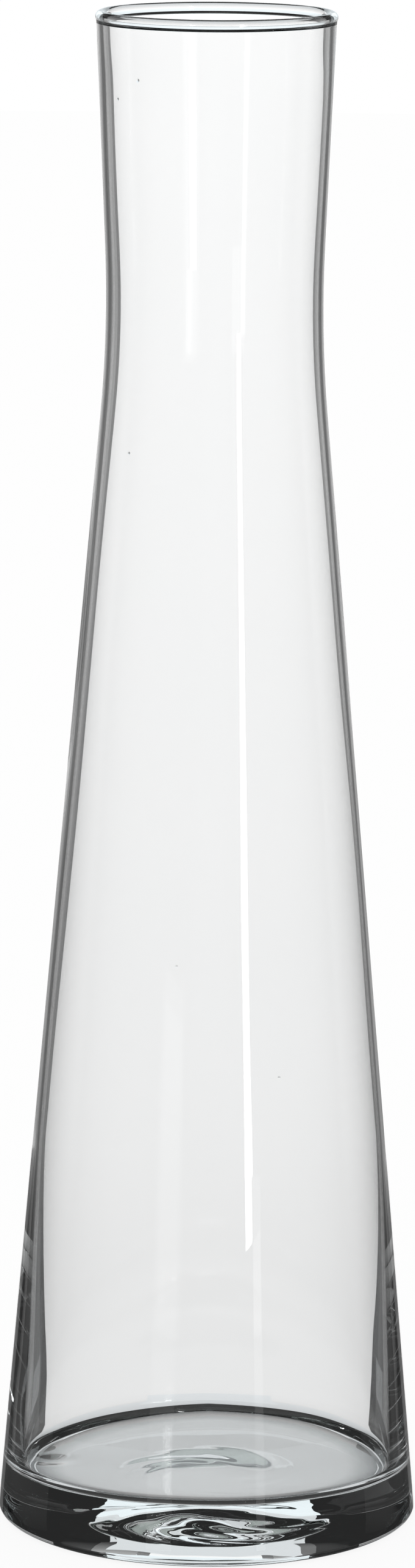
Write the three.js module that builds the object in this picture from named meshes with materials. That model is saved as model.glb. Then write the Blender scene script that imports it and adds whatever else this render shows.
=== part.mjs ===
// Glass bud vase: a tall bottle shape that tapers from a wide, heavy foot to a narrow
// neck and flares a little to a fire-polished rim. It is turned about +Z and stands on
// z = 0, in millimetres. The real vase is one piece of glass. Here it is divided by
// level planes into its five zones, which share full faces where they meet.

import * as THREE from 'three';

// Driving dimensions
const HEIGHT = 300;
const BASE_RADIUS = 41.65;
const NECK_RADIUS = 20.75; // where the body's taper and the neck's flare would cross
const NECK_HEIGHT = 238.4; // the height of that crossing
const NECK_BEND = 250; // radius of the soft bend that joins the two
const MOUTH_RADIUS = 23.26; // outside, just under the rim bead
const RIM_RADIUS = 23.48; // outside of the bead, which stands a little proud
const BEAD_RADIUS = 1.17;
const EDGE_RADIUS = 1.5; // rounded bottom edge
const BODY_WALL = 1.1;
const NECK_WALL = 1.25;

// The thick lower part: a well with a flat floor inside, a shallow hollow beneath
const HEEL_TOP = 80; // the wall thickens below this height
const WELL_RADIUS = 37.25; // where the wall meets the rounded corner of the floor
const WELL_DRAFT = 0.042; // how much the well narrows upwards there, per unit of height
const WELL_CORNER = 2.8;
const FLOOR_THICKNESS = 9;
const PUNT_RADIUS = 20;
const PUNT_DEPTH = 3;

// How finely the turned outlines are divided
const SIDES = 64;
const EDGE_STEPS = 4;
const BEAD_STEPS = 12;
const BEND_STEPS = 8;
const HEEL_STEPS = 6;
const CORNER_STEPS = 4;
const PUNT_STEPS = 6;
const BEAD_UNDERCUT = 0.6; // radians below level at which the bead meets the wall

// Levels that follow from them
const MOUTH_HEIGHT = HEIGHT - 2 * BEAD_RADIUS;
const FOOT_TOP = FLOOR_THICKNESS + WELL_CORNER;
const BODY_SLOPE = (NECK_RADIUS - BASE_RADIUS) / (NECK_HEIGHT - EDGE_RADIUS);
const FLARE_SLOPE = (MOUTH_RADIUS - NECK_RADIUS) / (MOUTH_HEIGHT - NECK_HEIGHT);
const BODY_ANGLE = Math.atan(BODY_SLOPE);
const FLARE_ANGLE = Math.atan(FLARE_SLOPE);
const BEND_TANGENT = NECK_BEND * Math.tan((FLARE_ANGLE - BODY_ANGLE) / 2);
const BEND_START = NECK_HEIGHT - BEND_TANGENT * Math.cos(BODY_ANGLE);
const BEND_END = NECK_HEIGHT + BEND_TANGENT * Math.cos(FLARE_ANGLE);
const BEND_CENTRE = {
  radius: NECK_RADIUS - BEND_TANGENT * Math.sin(BODY_ANGLE) + NECK_BEND * Math.cos(BODY_ANGLE),
  height: BEND_START - NECK_BEND * Math.sin(BODY_ANGLE),
};

// Outside radius of the wall at a height: straight taper, soft bend, straight flare.
function outerRadius(height) {
  if (height <= BEND_START) {
    return BASE_RADIUS + (height - EDGE_RADIUS) * BODY_SLOPE;
  }
  if (height >= BEND_END) {
    return NECK_RADIUS + (height - NECK_HEIGHT) * FLARE_SLOPE;
  }
  return BEND_CENTRE.radius - Math.sqrt(NECK_BEND ** 2 - (height - BEND_CENTRE.height) ** 2);
}

// Inside radius above the heel: the wall grows evenly from the heel to the neck.
function innerRadius(height) {
  const share = THREE.MathUtils.clamp((height - HEEL_TOP) / (BEND_END - HEEL_TOP), 0, 1);
  return outerRadius(height) - THREE.MathUtils.lerp(BODY_WALL, NECK_WALL, share);
}

// Points of an arc about a centre, from one angle to another, both ends included.
function arc(centreRadius, centreHeight, radius, from, to, steps) {
  return Array.from({ length: steps + 1 }, (_, step) => {
    const angle = THREE.MathUtils.lerp(from, to, step / steps);
    return new THREE.Vector2(
      centreRadius + radius * Math.cos(angle),
      centreHeight + radius * Math.sin(angle),
    );
  });
}

// Points along a wall whose radius is a function of height, both ends included.
function wallLine(radiusAt, from, to, steps) {
  return Array.from({ length: steps + 1 }, (_, step) => {
    const height = THREE.MathUtils.lerp(from, to, step / steps);
    return new THREE.Vector2(radiusAt(height), height);
  });
}

// A solid of revolution about +Z. The outline runs up the outside and down the inside.
function turned(name, outline, material) {
  const geometry = new THREE.LatheGeometry(outline, SIDES);
  geometry.rotateX(Math.PI / 2);
  const mesh = new THREE.Mesh(geometry, material);
  mesh.name = name;
  return mesh;
}

// A ring's outline goes back to the point where it started.
function closed(outline) {
  return [...outline, outline[0].clone()];
}

// Heavy foot: flat standing ring, shallow hollow beneath, and the floor of the well.
function footOutline() {
  const ringOuter = BASE_RADIUS - EDGE_RADIUS;
  const punt = Array.from({ length: PUNT_STEPS + 1 }, (_, step) => {
    const share = step / PUNT_STEPS;
    const height = (PUNT_DEPTH * (1 + Math.cos(Math.PI * share))) / 2;
    return new THREE.Vector2(PUNT_RADIUS * share, height);
  });
  const edge = arc(ringOuter, EDGE_RADIUS, EDGE_RADIUS, -Math.PI / 2, 0, EDGE_STEPS);
  const top = new THREE.Vector2(outerRadius(FOOT_TOP), FOOT_TOP);
  const cornerCentre = WELL_RADIUS - WELL_CORNER;
  const corner = arc(cornerCentre, FOOT_TOP, WELL_CORNER, 0, -Math.PI / 2, CORNER_STEPS);
  const floorCentre = new THREE.Vector2(0, FLOOR_THICKNESS);
  return [...punt, ...edge, top, ...corner, floorCentre];
}

// Heel: the wall between the foot and the body, which thickens towards the foot.
function heelOutline() {
  const outside = wallLine(outerRadius, FOOT_TOP, HEEL_TOP, 1);
  const third = (HEEL_TOP - FOOT_TOP) / 3;
  const inside = new THREE.CubicBezierCurve(
    new THREE.Vector2(innerRadius(HEEL_TOP), HEEL_TOP),
    new THREE.Vector2(innerRadius(HEEL_TOP) - BODY_SLOPE * third, HEEL_TOP - third),
    new THREE.Vector2(WELL_RADIUS - WELL_DRAFT * third, FOOT_TOP + third),
    new THREE.Vector2(WELL_RADIUS, FOOT_TOP),
  ).getPoints(HEEL_STEPS);
  return closed([...outside, ...inside]);
}

// Body: a straight-sided hollow cone.
function bodyOutline() {
  return closed([
    ...wallLine(outerRadius, HEEL_TOP, BEND_START, 1),
    ...wallLine(innerRadius, BEND_START, HEEL_TOP, 1),
  ]);
}

// Neck: the soft bend, and the flare that carries on up to the rim.
function neckOutline() {
  const outside = wallLine(outerRadius, BEND_START, BEND_END, BEND_STEPS);
  const inside = wallLine(innerRadius, BEND_END, BEND_START, BEND_STEPS);
  const mouth = [
    new THREE.Vector2(outerRadius(MOUTH_HEIGHT), MOUTH_HEIGHT),
    new THREE.Vector2(innerRadius(MOUTH_HEIGHT), MOUTH_HEIGHT),
  ];
  return closed([...outside, ...mouth, ...inside]);
}

// Rim: the fire-polished bead, thicker than the wall, so it stands proud on both sides.
function rimOutline() {
  const bead = arc(
    RIM_RADIUS - BEAD_RADIUS,
    HEIGHT - BEAD_RADIUS,
    BEAD_RADIUS,
    -BEAD_UNDERCUT,
    Math.PI + BEAD_UNDERCUT,
    BEAD_STEPS,
  );
  return closed([
    new THREE.Vector2(outerRadius(MOUTH_HEIGHT), MOUTH_HEIGHT),
    ...bead,
    new THREE.Vector2(innerRadius(MOUTH_HEIGHT), MOUTH_HEIGHT),
  ]);
}

// Clear soda-lime glass. The thick foot and the rim read a little darker than the wall.
function clearGlass(name, color) {
  return new THREE.MeshStandardMaterial({
    name,
    color,
    roughness: 0.02,
    metalness: 0,
    transparent: true,
    opacity: 0.35,
  });
}

const wallGlass = clearGlass('wall_glass', 0xe9efee);
const footGlass = clearGlass('foot_glass', 0xb9c4c4);
const rimGlass = clearGlass('rim_glass', 0xd3dbda);

const vase = new THREE.Group();
vase.name = 'glass_bud_vase';
vase.add(
  turned('foot', footOutline(), footGlass),
  turned('heel_wall', heelOutline(), wallGlass),
  turned('body_wall', bodyOutline(), wallGlass),
  turned('neck_wall', neckOutline(), wallGlass),
  turned('rim_bead', rimOutline(), rimGlass),
);

export default vase;
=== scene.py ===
import math

import bmesh
import bpy
from mathutils import Matrix, Vector, noise


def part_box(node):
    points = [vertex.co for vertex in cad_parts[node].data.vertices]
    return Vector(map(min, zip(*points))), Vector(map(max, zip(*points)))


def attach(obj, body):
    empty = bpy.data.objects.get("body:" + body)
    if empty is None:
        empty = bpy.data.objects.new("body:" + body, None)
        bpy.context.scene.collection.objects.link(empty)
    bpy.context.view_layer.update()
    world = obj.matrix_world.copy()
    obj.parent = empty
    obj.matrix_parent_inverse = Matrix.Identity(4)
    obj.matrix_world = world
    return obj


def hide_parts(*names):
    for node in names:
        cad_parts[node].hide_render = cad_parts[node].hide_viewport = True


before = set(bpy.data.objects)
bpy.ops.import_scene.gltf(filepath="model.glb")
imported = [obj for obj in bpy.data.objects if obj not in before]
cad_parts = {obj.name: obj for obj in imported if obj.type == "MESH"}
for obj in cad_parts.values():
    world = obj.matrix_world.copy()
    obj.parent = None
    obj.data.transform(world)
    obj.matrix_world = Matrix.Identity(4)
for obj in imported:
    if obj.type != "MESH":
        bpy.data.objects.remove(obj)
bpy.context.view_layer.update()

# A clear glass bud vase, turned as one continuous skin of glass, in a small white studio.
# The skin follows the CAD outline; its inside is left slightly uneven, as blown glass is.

MM = 0.001

# Sizes that the CAD zones give
FOOT_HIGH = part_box("foot")[1]
HEEL_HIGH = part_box("heel_wall")[1]
BODY_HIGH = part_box("body_wall")[1]
NECK_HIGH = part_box("neck_wall")[1]
RIM_LOW, RIM_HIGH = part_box("rim_bead")
BASE_RADIUS = FOOT_HIGH.x
FOOT_TOP = FOOT_HIGH.z
HEEL_TOP = HEEL_HIGH.z
MOUTH_HEIGHT = RIM_LOW.z
MOUTH_RADIUS = NECK_HIGH.x
RIM_RADIUS = RIM_HIGH.x
HEIGHT = RIM_HIGH.z
BEAD_RADIUS = (HEIGHT - MOUTH_HEIGHT) / 2
BODY_SLOPE = (BODY_HIGH.x - HEEL_HIGH.x) / (HEEL_TOP - FOOT_TOP)

# Sizes of the glass that the boxes don't show
EDGE_RADIUS = 1.5 * MM
NECK_HEIGHT = 238.4 * MM
NECK_BEND = 250 * MM
BODY_WALL = 1.1 * MM
NECK_WALL = 1.25 * MM
WELL_RADIUS = 37.25 * MM
WELL_DRAFT = 0.042
WELL_CORNER = 2.8 * MM
FLOOR_THICKNESS = FOOT_TOP - WELL_CORNER
PUNT_RADIUS = 20 * MM
PUNT_DEPTH = 3 * MM

# Where the rim bead leaves the wall, and the short ring that keeps each crease crisp
BEAD_OUTER_CUT = 0.45
BEAD_INNER_CUT = 1.2
WALL_STOP_OUTSIDE = HEIGHT - 1.9 * BEAD_RADIUS
WALL_STOP_INSIDE = HEIGHT - 1.97 * BEAD_RADIUS
CREASE = 0.06 * MM

# How uneven the hand-worked glass is. A place is where in the noise a surface is taken.
FLOOR_TILT = 0.06
FLOOR_ROOF = 1.3 * MM
ROOF_HALF_ANGLE = math.radians(60)
FLOOR_RIPPLE = 0.12 * MM
FLOOR_WAVE = 14 * MM
FLOOR_FADE = 30 * MM  # how far up the wall the floor's lift is felt
DENT_PLACE = Vector((-31 * MM, 0.5 * MM, 0))
DENT_RADIUS = 6 * MM
DENT_DEPTH = 0.45 * MM
WALL_RIPPLE = 0.1 * MM
WALL_WAVE = 30 * MM
WALL_WAVE_STRETCH = 2  # the waves are this much longer along the height
WALL_NOISE_PLACE = Vector((9, 4, 2))
WALL_OFFSET = 0.13 * MM
WALL_FADE_IN = 20 * MM  # above the foot
WALL_FADE_OUT = (12 * MM, 4 * MM)  # below the rim, where it starts and where it ends
PUNT_SHIFT = 2.5 * MM
PUNT_RIPPLE = 0.33 * MM
PUNT_RIPPLED = 0.72  # share of its radius within which the hollow is fully rippled
PUNT_WAVE = 6.5 * MM
PUNT_NOISE_PLACE = Vector((3.1, 7.7, 0.5))
PUNT_SWIRL = 2.5  # radians between the middle and the edge

# How finely the outline is divided
SIDES = 288
PUNT_STEPS = 36
RING_STEPS = 8
EDGE_STEPS = 10
OUTSIDE_STEPS = 70
BEAD_STEPS = 40
INSIDE_STEPS = 46
HEEL_STEPS = 64
CORNER_STEPS = 20
FLOOR_STEPS = 34

# The soft bend between the body's taper and the neck's flare
BODY_ANGLE = math.atan(BODY_SLOPE)
NECK_RADIUS = BASE_RADIUS + (NECK_HEIGHT - EDGE_RADIUS) * BODY_SLOPE
FLARE_SLOPE = (MOUTH_RADIUS - NECK_RADIUS) / (MOUTH_HEIGHT - NECK_HEIGHT)
FLARE_ANGLE = math.atan(FLARE_SLOPE)
BEND_TANGENT = NECK_BEND * math.tan((FLARE_ANGLE - BODY_ANGLE) / 2)
BEND_START = NECK_HEIGHT - BEND_TANGENT * math.cos(BODY_ANGLE)
BEND_END = NECK_HEIGHT + BEND_TANGENT * math.cos(FLARE_ANGLE)
BEND_CENTRE_Z = BEND_START - NECK_BEND * math.sin(BODY_ANGLE)
BEND_CENTRE_R = (
    NECK_RADIUS - BEND_TANGENT * math.sin(BODY_ANGLE) + NECK_BEND * math.cos(BODY_ANGLE)
)


def smooth(value, low, high):
    """0 below low, 1 above high, and an even S between them."""
    share = min(max((value - low) / (high - low), 0), 1)
    return share * share * (3 - 2 * share)


def steps(low, high, count):
    """Even steps from low to high, without low itself."""
    return [low + (high - low) * step / count for step in range(1, count + 1)]


# The outline

def outer_radius(height):
    """Outside of the wall: straight taper, soft bend, straight flare."""
    if height <= BEND_START:
        return BASE_RADIUS + (height - EDGE_RADIUS) * BODY_SLOPE
    if height >= BEND_END:
        return NECK_RADIUS + (height - NECK_HEIGHT) * FLARE_SLOPE
    return BEND_CENTRE_R - math.sqrt(NECK_BEND**2 - (height - BEND_CENTRE_Z) ** 2)


def inner_radius(height):
    """Inside of the wall above the heel; the glass grows a little thicker to the neck."""
    thicker = smooth(height, HEEL_TOP, BEND_END)
    return outer_radius(height) - BODY_WALL - (NECK_WALL - BODY_WALL) * thicker


def arc(centre_r, centre_z, radius, start, end, count):
    """Points after the first of an arc, with angles from the outward direction."""
    return [
        (centre_r + radius * math.cos(angle), centre_z + radius * math.sin(angle))
        for angle in steps(start, end, count)
    ]


def bezier(corners, count):
    """Points after the first of a cubic curve."""
    a, b, c, d = (Vector(corner) for corner in corners)
    return [
        tuple(a * (1 - t) ** 3 + b * 3 * (1 - t) ** 2 * t + c * 3 * (1 - t) * t * t + d * t**3)
        for t in steps(0, 1, count)
    ]


def under_outline():
    """From the axis outwards: the shallow hollow, the standing ring, the rounded edge."""
    hollow = [
        (PUNT_RADIUS * share, PUNT_DEPTH * (1 + math.cos(math.pi * share)) / 2)
        for share in [0] + steps(0, 1, PUNT_STEPS)
    ]
    ring_outer = BASE_RADIUS - EDGE_RADIUS
    ring = [(radius, 0) for radius in steps(PUNT_RADIUS, ring_outer, RING_STEPS)]
    edge = arc(ring_outer, EDGE_RADIUS, EDGE_RADIUS, -math.pi / 2, 0, EDGE_STEPS)
    return hollow + ring + edge


def outside_outline():
    """Up the outside of the wall and over the rim bead."""
    heights = steps(EDGE_RADIUS, WALL_STOP_OUTSIDE, OUTSIDE_STEPS)
    heights.insert(-1, WALL_STOP_OUTSIDE - CREASE)
    wall = [(outer_radius(height), height) for height in heights]
    centre_r = RIM_RADIUS - BEAD_RADIUS
    centre_z = HEIGHT - BEAD_RADIUS
    bead_start = (
        centre_r + BEAD_RADIUS * math.cos(BEAD_OUTER_CUT),
        centre_z - BEAD_RADIUS * math.sin(BEAD_OUTER_CUT),
    )
    over = arc(
        centre_r, centre_z, BEAD_RADIUS, -BEAD_OUTER_CUT, math.pi + BEAD_INNER_CUT, BEAD_STEPS
    )
    return wall + [bead_start] + over


def inside_outline():
    """Down the inside of the wall, round the corner of the well, to the axis."""
    heights = [WALL_STOP_INSIDE, WALL_STOP_INSIDE - CREASE]
    heights += steps(WALL_STOP_INSIDE, HEEL_TOP, INSIDE_STEPS)
    wall = [(inner_radius(height), height) for height in heights]
    third = (HEEL_TOP - FOOT_TOP) / 3
    heel_radius = inner_radius(HEEL_TOP)
    heel = bezier(
        [
            (heel_radius, HEEL_TOP),
            (heel_radius - BODY_SLOPE * third, HEEL_TOP - third),
            (WELL_RADIUS - WELL_DRAFT * third, FOOT_TOP + third),
            (WELL_RADIUS, FOOT_TOP),
        ],
        HEEL_STEPS,
    )
    corner_r = WELL_RADIUS - WELL_CORNER
    corner = arc(corner_r, FOOT_TOP, WELL_CORNER, 0, -math.pi / 2, CORNER_STEPS)
    floor = [(corner_r * (1 - share), FLOOR_THICKNESS) for share in steps(0, 1, FLOOR_STEPS)]
    return wall + heel + corner + floor


# Turning the outline into a mesh

def make_ring(mesh, radius, height):
    """A ring of vertices, or a single one on the axis."""
    if radius == 0:
        return [mesh.verts.new((0, 0, height))]
    angles = [math.tau * side / SIDES for side in range(SIDES)]
    return [
        mesh.verts.new((radius * math.cos(angle), radius * math.sin(angle), height))
        for angle in angles
    ]


def join_rings(mesh, ring, following):
    """Faces between two rings, either of which may be the single vertex on the axis."""
    for side in range(SIDES):
        after = (side + 1) % SIDES
        if len(ring) == 1:
            corners = (ring[0], following[after], following[side])
        elif len(following) == 1:
            corners = (ring[side], ring[after], following[0])
        else:
            corners = (ring[side], ring[after], following[after], following[side])
        mesh.faces.new(corners).smooth = True


def lathe(name, outline, shape):
    """A closed surface of revolution; shape moves each vertex, given its ring's number."""
    mesh = bmesh.new()
    rings = [make_ring(mesh, radius, height) for radius, height in outline]
    for ring, following in zip(rings, rings[1:]):
        join_rings(mesh, ring, following)
    for number, ring in enumerate(rings):
        for vertex in ring:
            vertex.co = shape(number, vertex.co)
    data = bpy.data.meshes.new(name)
    mesh.to_mesh(data)
    mesh.free()
    piece = bpy.data.objects.new(name, data)
    bpy.context.scene.collection.objects.link(piece)
    return piece


# Unevenness

def uneven_punt(point):
    """The hollow beneath sits a little off centre and is rippled in a swirl."""
    radius = math.hypot(point.x, point.y)
    inside = 1 - smooth(radius, PUNT_RIPPLED * PUNT_RADIUS, PUNT_RADIUS)
    turn = Matrix.Rotation(PUNT_SWIRL * (1 - radius / PUNT_RADIUS), 3, "Z")
    spot = turn @ Vector((point.x, point.y, 0)) / PUNT_WAVE
    height = point.z + inside * PUNT_RIPPLE * noise.noise(spot + PUNT_NOISE_PLACE)
    shift = PUNT_SHIFT * (1 - smooth(radius, PUNT_RADIUS, BASE_RADIUS - 2 * EDGE_RADIUS))
    return Vector((point.x, point.y - shift, max(height, 0)))


def floor_lift(point):
    """How far the floor of the well is off level: a ridge at the back, ripple, tilt, a dent."""
    radius = math.hypot(point.x, point.y)
    angle = math.atan2(point.x, point.y)
    roof = max(0, 1 - abs(angle) / ROOF_HALF_ANGLE) * radius / WELL_RADIUS
    ripple = noise.noise(Vector((point.x, point.y, 0)) / FLOOR_WAVE)
    from_dent = (Vector((point.x, point.y, 0)) - DENT_PLACE).length
    dent = 1 - smooth(from_dent, 0, DENT_RADIUS)
    return FLOOR_ROOF * roof + FLOOR_RIPPLE * ripple - FLOOR_TILT * point.y - DENT_DEPTH * dent


def wall_push(point):
    """How far the inside of the wall is off its circle: slightly off centre, and wavy."""
    angle = math.atan2(point.x, point.y)
    spot = Vector((point.x, point.y, point.z / WALL_WAVE_STRETCH)) / WALL_WAVE
    wander = noise.noise(spot + WALL_NOISE_PLACE)
    return WALL_RIPPLE * wander + WALL_OFFSET * math.sin(angle)


def uneven_inside(point):
    """Moves a point of the inside; the rim is left true."""
    radius = math.hypot(point.x, point.y)
    well = 1 - smooth(point.z, FOOT_TOP, FOOT_TOP + FLOOR_FADE)
    wall = smooth(point.z, FOOT_TOP, FOOT_TOP + WALL_FADE_IN)
    wall *= 1 - smooth(point.z, MOUTH_HEIGHT - WALL_FADE_OUT[0], MOUTH_HEIGHT - WALL_FADE_OUT[1])
    scale = 1 + wall * wall_push(point) / max(radius, MM)
    return Vector((point.x * scale, point.y * scale, point.z + well * floor_lift(point)))


# Materials

def node(tree, kind, inputs=None, **settings):
    """Adds a shader node, with its settings and the values or links of its inputs."""
    made = tree.nodes.new(kind)
    for key, value in settings.items():
        setattr(made, key, value)
    for key, value in (inputs or {}).items():
        if isinstance(value, bpy.types.NodeSocket):
            tree.links.new(value, made.inputs[key])
        else:
            made.inputs[key].default_value = value
    return made


def new_material(name):
    """An empty node material, with its tree and its output node."""
    material = bpy.data.materials.new(name)
    material.use_nodes = True
    tree = material.node_tree
    tree.nodes.clear()
    return material, tree, node(tree, "ShaderNodeOutputMaterial")


# Seeds are the pinhead bubbles in blown glass: angle from straight ahead, height, size
WALL_SEEDS = (
    (-41, 288 * MM, 0.5 * MM),
    (-56, 284 * MM, 0.35 * MM),
    (-46, 216 * MM, 0.35 * MM),
    (24, 96 * MM, 0.3 * MM),
    (-12, 118 * MM, 0.3 * MM),
)
FLOOR_SEED = (Vector((8 * MM, 22 * MM, FLOOR_THICKNESS)), 1.2 * MM)
SEED_DEPTH = 0.08 * MM

# The glass itself
IOR = 1.5
SURFACE_WAVES = (60, 60, 18)  # per metre, so longer along the height
SURFACE_RIPPLE = 0.03 * MM
SMEARS = 45  # per metre
SMEAR_RANGE = (0.5, 0.8)  # noise levels between which a smear turns from polished to rough
SMEARED_ROUGHNESS = 0.03
SMEARED_TONE = (0.985, 0.99, 0.99)
DEPTH_TONE = (0.75, 0.80, 0.80)
DEPTH_DENSITY = 5


def seed_places():
    """The centre and size of each seed."""
    yield FLOOR_SEED
    for degrees, height, size in WALL_SEEDS:
        angle = math.radians(degrees)
        radius = outer_radius(height)
        yield Vector((radius * math.sin(angle), -radius * math.cos(angle), height)), size


def seed_pits(tree, place):
    """A height that is 1 in the middle of each seed and 0 away from all of them."""
    total = 0
    for centre, size in seed_places():
        away = node(tree, "ShaderNodeVectorMath", {0: place, 1: centre}, operation="DISTANCE")
        pit = node(
            tree,
            "ShaderNodeMapRange",
            {"Value": away.outputs["Value"], "From Max": size, "To Min": 1, "To Max": 0},
            interpolation_type="SMOOTHSTEP",
        )
        total = node(tree, "ShaderNodeMath", {0: total, 1: pit.outputs[0]}).outputs[0]
    return total


def glass_normal(tree, place):
    """The polished surface, faintly wavy and pitted where a seed lies."""
    spot = node(tree, "ShaderNodeVectorMath", {0: place, 1: SURFACE_WAVES}, operation="MULTIPLY")
    waves = node(tree, "ShaderNodeTexNoise", {"Vector": spot.outputs[0], "Scale": 1, "Detail": 1})
    ripple = node(
        tree, "ShaderNodeBump", {"Height": waves.outputs["Fac"], "Distance": SURFACE_RIPPLE}
    )
    pits = node(
        tree,
        "ShaderNodeBump",
        {"Height": seed_pits(tree, place), "Distance": SEED_DEPTH, "Normal": ripple.outputs[0]},
    )
    return pits.outputs[0]


def glass_smears(tree, place):
    """Roughness and tone, both following the same faint smears."""
    smears = node(tree, "ShaderNodeTexNoise", {"Vector": place, "Scale": SMEARS, "Detail": 4})
    roughness = node(
        tree,
        "ShaderNodeMapRange",
        {
            "Value": smears.outputs["Fac"],
            "From Min": SMEAR_RANGE[0],
            "From Max": SMEAR_RANGE[1],
            "To Max": SMEARED_ROUGHNESS,
        },
    )
    tone = node(
        tree,
        "ShaderNodeMix",
        {"Factor": smears.outputs["Fac"], "A": (1, 1, 1, 1), "B": (*SMEARED_TONE, 1)},
        data_type="RGBA",
    )
    return roughness.outputs[0], tone.outputs["Result"]


def clear_glass():
    """Colourless soda-lime glass, grey-green in depth, with a faint waviness and seeds."""
    material, tree, output = new_material("clear_glass")
    place = node(tree, "ShaderNodeTexCoord").outputs["Object"]
    normal = glass_normal(tree, place)
    roughness, tone = glass_smears(tree, place)
    surface = node(
        tree,
        "ShaderNodeBsdfPrincipled",
        {"Roughness": roughness, "Normal": normal, "IOR": IOR, "Transmission Weight": 1},
    )
    tree.links.new(tone, surface.inputs["Base Color"])
    depth = node(
        tree, "ShaderNodeVolumeAbsorption", {"Color": (*DEPTH_TONE, 1), "Density": DEPTH_DENSITY}
    )
    tree.links.new(surface.outputs[0], output.inputs["Surface"])
    tree.links.new(depth.outputs[0], output.inputs["Volume"])
    return material


# The camera, as far off and as high as the photographer's
CAMERA_PLACE = Vector((0, -1.3313, 0.4051))
CAMERA_PITCH = math.radians(10.929)
CAMERA_YAW = math.radians(0.033)
CAMERA_ROLL = math.radians(0.394)
SENSOR = 36.0
LENS = 157.92


def make_camera():
    """The main view."""
    data = bpy.data.cameras.new("camera")
    data.sensor_width = SENSOR
    data.lens = LENS
    camera = bpy.data.objects.new("camera", data)
    bpy.context.scene.collection.objects.link(camera)
    turn = (
        Matrix.Rotation(CAMERA_YAW, 4, "Z")
        @ Matrix.Rotation(math.pi / 2 - CAMERA_PITCH, 4, "X")
        @ Matrix.Rotation(CAMERA_ROLL, 4, "Z")
    )
    camera.matrix_world = Matrix.Translation(CAMERA_PLACE) @ turn
    bpy.context.scene.camera = camera
    bpy.context.view_layer.update()
    return camera


# The studio: a pale floor, a glowing grey patch under the foot that paints the vase's shadow on the
# table, and glowing cards far off

FLOOR_REACH = 3.0
FLOOR_LEVEL = -0.3 * MM
FLOOR_WHITE = (0.9, 0.9, 0.9)
FLOOR_GLOW_SHARE = 0.9
# The patch is painted shadow: glowing grey that stands in for the table shaded by the vase, darker
# towards the edge, under the ring the vase stands on
PATCH_LEVEL = -0.2 * MM
PATCH_RADIUS = 36.5 * MM
PATCH_BACK = 6 * MM
PATCH_SHADOW_GLOW = (0.54, 0.08)  # in the middle and at the edge
PATCH_EVEN = 0.8  # share of its radius within which the patch is even
LIT_TABLE_BACK = 100 * MM
LIT_TABLE_HALF_WIDTH = 15.5 * MM
LIT_TABLE_SPAN = (-28 * MM, -10.5 * MM)
LIT_TABLE_GLOW = 0.86
ROOM_GLOW = 0.022  # what the glass sees between the cards
LIGHT_BOUNCES = 24
CARD_DISTANCE = 60.0
CARD_AIM = Vector((0, 0, HEIGHT / 2))
WHITE = (1, 1, 1)
COOL_WHITE = (0.93, 1.0, 1.03)
TABLE_WHITE = (0.97, 1.0, 1.02)
GREEN_GREY = (0.93, 1.02, 0.98)


def stage_sheet(name, corners):
    """A flat sheet of the studio, from its corners."""
    data = bpy.data.meshes.new(name)
    data.from_pydata(corners, [], [tuple(range(len(corners)))])
    sheet = bpy.data.objects.new(name, data)
    bpy.context.scene.collection.objects.link(sheet)
    return sheet


def disc_corners(radius, back, height, sides=96):
    """Corners of a level disc, its middle set back from the axis."""
    angles = [math.tau * side / sides for side in range(sides)]
    return [(radius * math.cos(a), back + radius * math.sin(a), height) for a in angles]


def show_only_through_glass(sheet):
    """Keeps a glowing sheet out of direct sight and off the floor."""
    sheet.visible_camera = False
    sheet.visible_diffuse = False
    sheet.visible_shadow = False


def shine(tree, output, strength, tint):
    """Emission of a strength, which is a number or a socket."""
    light = node(tree, "ShaderNodeEmission", {"Color": (*tint, 1), "Strength": strength})
    tree.links.new(light.outputs[0], output.inputs["Surface"])


def glow_between(tree, output, value, reach, glow, tint):
    """Emission that goes from the first glow to the second as value crosses the reach."""
    level = node(
        tree,
        "ShaderNodeMapRange",
        {
            "Value": value,
            "From Min": reach[0],
            "From Max": reach[1],
            "To Min": glow[0],
            "To Max": glow[1],
        },
    )
    shine(tree, output, level.outputs[0], tint)


def make_floor():
    """The pale floor that the camera sees; the glass sees the cards instead."""
    floor = stage_sheet("floor", disc_corners(FLOOR_REACH, 0, FLOOR_LEVEL))
    floor.visible_transmission = False
    floor.visible_glossy = False
    material, tree, output = new_material("pale_floor")
    matte = node(tree, "ShaderNodeBsdfDiffuse", {"Color": (*FLOOR_WHITE, 1)})
    glow = node(tree, "ShaderNodeEmission", {"Color": (*WHITE, 1)})
    parts = {0: FLOOR_GLOW_SHARE, 1: matte.outputs[0], 2: glow.outputs[0]}
    mix = node(tree, "ShaderNodeMixShader", parts)
    tree.links.new(mix.outputs[0], output.inputs["Surface"])
    floor.data.materials.append(material)


def make_painted_shadow_patch():
    """Painted shadow: the table right under the foot as shaded by the vase, a glowing grey disc that
    is darker towards the ring the vase stands on.
    """
    shadow_patch = stage_sheet("shadow_patch", disc_corners(PATCH_RADIUS, PATCH_BACK, PATCH_LEVEL))
    show_only_through_glass(shadow_patch)
    material, tree, output = new_material("shadow_patch")
    place = node(tree, "ShaderNodeTexCoord").outputs["Object"]
    middle = (0, PATCH_BACK, 0)
    away = node(tree, "ShaderNodeVectorMath", {0: place, 1: middle}, operation="DISTANCE")
    # painted shadow: the glow drops from the middle to the edge, darker towards the ring the vase
    # stands on
    contact_shade = (PATCH_EVEN * PATCH_RADIUS, PATCH_RADIUS)
    glow_between(tree, output, away.outputs["Value"], contact_shade, PATCH_SHADOW_GLOW, WHITE)
    shadow_patch.data.materials.append(material)


def make_lit_table():
    """The lit table behind the vase: only light that leaves the foot low down comes from it."""
    wide = LIT_TABLE_HALF_WIDTH
    low, high = LIT_TABLE_SPAN
    back = LIT_TABLE_BACK
    strip = stage_sheet(
        "lit_table", [(-wide, back, low), (wide, back, low), (wide, back, high), (-wide, back, high)]
    )
    show_only_through_glass(strip)
    material, tree, output = new_material("lit_table")
    shine(tree, output, LIT_TABLE_GLOW, TABLE_WHITE)
    strip.data.materials.append(material)


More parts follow.
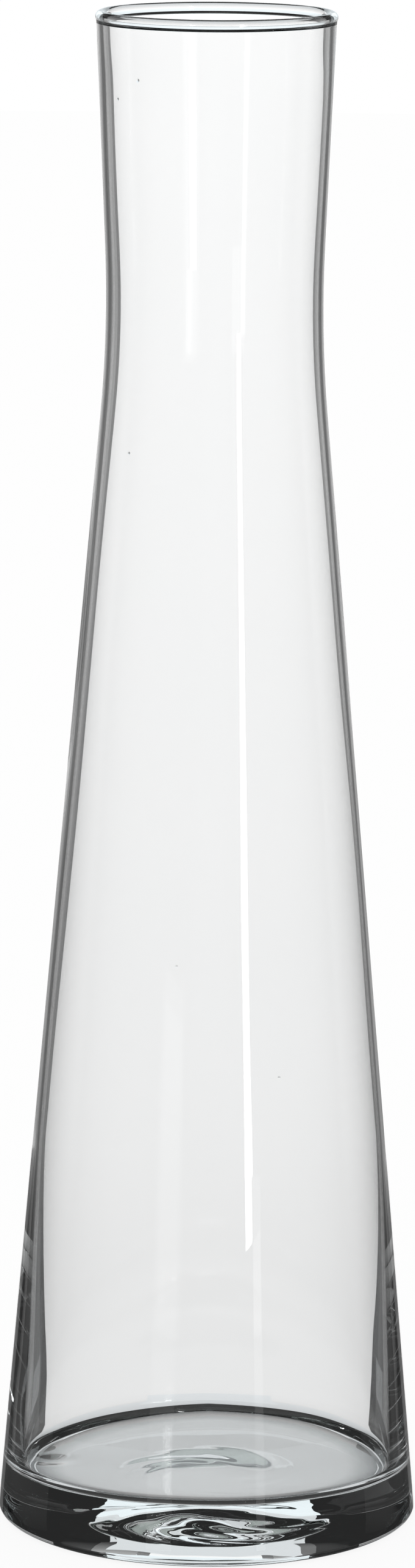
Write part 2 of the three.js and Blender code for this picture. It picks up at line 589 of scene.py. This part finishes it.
def make_world():
    """White to the camera and to the floor, nearly dark to the glass."""
    world = bpy.data.worlds.new("studio")
    bpy.context.scene.world = world
    world.use_nodes = True
    tree = world.node_tree
    path = node(tree, "ShaderNodeLightPath")
    seen = node(
        tree,
        "ShaderNodeMath",
        {0: path.outputs["Is Camera Ray"], 1: path.outputs["Is Diffuse Ray"]},
        operation="MAXIMUM",
    )
    level = node(tree, "ShaderNodeMapRange", {"Value": seen.outputs[0], "To Min": ROOM_GLOW})
    background = tree.nodes["Background"]
    background.inputs["Color"].default_value = (*WHITE, 1)
    tree.links.new(level.outputs[0], background.inputs["Strength"])


def card(name, rig, azimuth, elevation, size, glow, tint=WHITE):
    """A glowing card, far off, that turns with the camera. Angles and sizes are degrees
    seen from the vase: azimuth 0 is behind it and positive to the right. The glow goes
    from the first value at the bottom edge to the second at the top."""
    turn, rise = math.radians(azimuth), math.radians(elevation)
    out = Vector((math.sin(turn) * math.cos(rise), math.cos(turn) * math.cos(rise), math.sin(rise)))
    wide, high = (CARD_DISTANCE * math.tan(math.radians(extent / 2)) for extent in size)
    sheet = stage_sheet(name, [(-wide, -high, 0), (wide, -high, 0), (wide, high, 0), (-wide, high, 0)])
    show_only_through_glass(sheet)
    place = Matrix.Translation(CARD_AIM + out * CARD_DISTANCE)
    sheet.parent = rig
    sheet.matrix_parent_inverse = rig.matrix_world.inverted()
    sheet.matrix_basis = place @ out.to_track_quat("Z", "Y").to_matrix().to_4x4()
    material, tree, output = new_material(name)
    spot = node(tree, "ShaderNodeTexCoord").outputs["Generated"]
    split = node(tree, "ShaderNodeSeparateXYZ", {0: spot})
    glow_between(tree, output, split.outputs["Y"], (0, 1), glow, tint)
    sheet.data.materials.append(material)


def make_cards(rig):
    """The surroundings that the glass shows."""
    # Straight behind: a narrow white backdrop, a wider one above it, the table below it
    card("backdrop", rig, 0, -13.5, size=(21, 21), glow=(0.84, 1.17))
    card("backdrop_top", rig, -0.5, 7.5, size=(40, 21), glow=(1.1, 1.05), tint=COOL_WHITE)
    card("table_near", rig, -0.5, -33, size=(40, 18), glow=(0.72, 0.84), tint=TABLE_WHITE)
    card("table_under", rig, 0, -79, size=(90, 74), glow=(0.05, 0.05))
    card("ceiling", rig, 0, 72, size=(90, 44), glow=(0.42, 0.42), tint=GREEN_GREY)
    # Beside the backdrop: darker panels, which the edges of the glass show as grey bands
    for side in (-1, 1):
        card("panel_gap", rig, side * 11.6, -12, size=(2.3, 24), glow=(0.05, 0.3))
        card("panel", rig, side * 18, -12, size=(10.5, 24), glow=(0.07, 0.5))
        card("panel_far", rig, side * 29, -12, size=(11, 24), glow=(0.02, 0.16))
        card("room_side", rig, side * 58, -5, size=(46, 22), glow=(0.06, 0.5))
    # Behind the camera: the lamps that show as thin streaks on the glass
    card("strip_lamp", rig, 180 - 25.4, 4, size=(4.6, 18), glow=(6, 6))
    card("soft_lamp", rig, 180 + 26, -8, size=(14, 10), glow=(0.45, 0.45))
    card("low_lamp", rig, 180 - 30, -9, size=(5, 8), glow=(0.8, 0.8))


def make_vase():
    """The whole vase, as one closed skin of glass."""
    under = under_outline()
    outside = outside_outline()
    inside = inside_outline()

    def shape(number, point):
        if number < len(under):
            return uneven_punt(point)
        if number < len(under) + len(outside):
            return point
        return uneven_inside(point)

    vase = lathe("vase", under + outside + inside, shape)
    vase.data.materials.append(clear_glass())
    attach(vase, "root")
    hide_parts("foot", "heel_wall", "body_wall", "neck_wall", "rim_bead")


def set_light_paths():
    """Enough bounces for light to pass both walls and the foot, and plain sRGB colours."""
    scene = bpy.context.scene
    scene.view_settings.view_transform = "Standard"
    scene.cycles.max_bounces = LIGHT_BOUNCES
    scene.cycles.transmission_bounces = LIGHT_BOUNCES
    scene.cycles.glossy_bounces = LIGHT_BOUNCES


make_vase()
make_world()
make_floor()
make_painted_shadow_patch()
make_lit_table()
make_cards(make_camera())
set_light_paths()
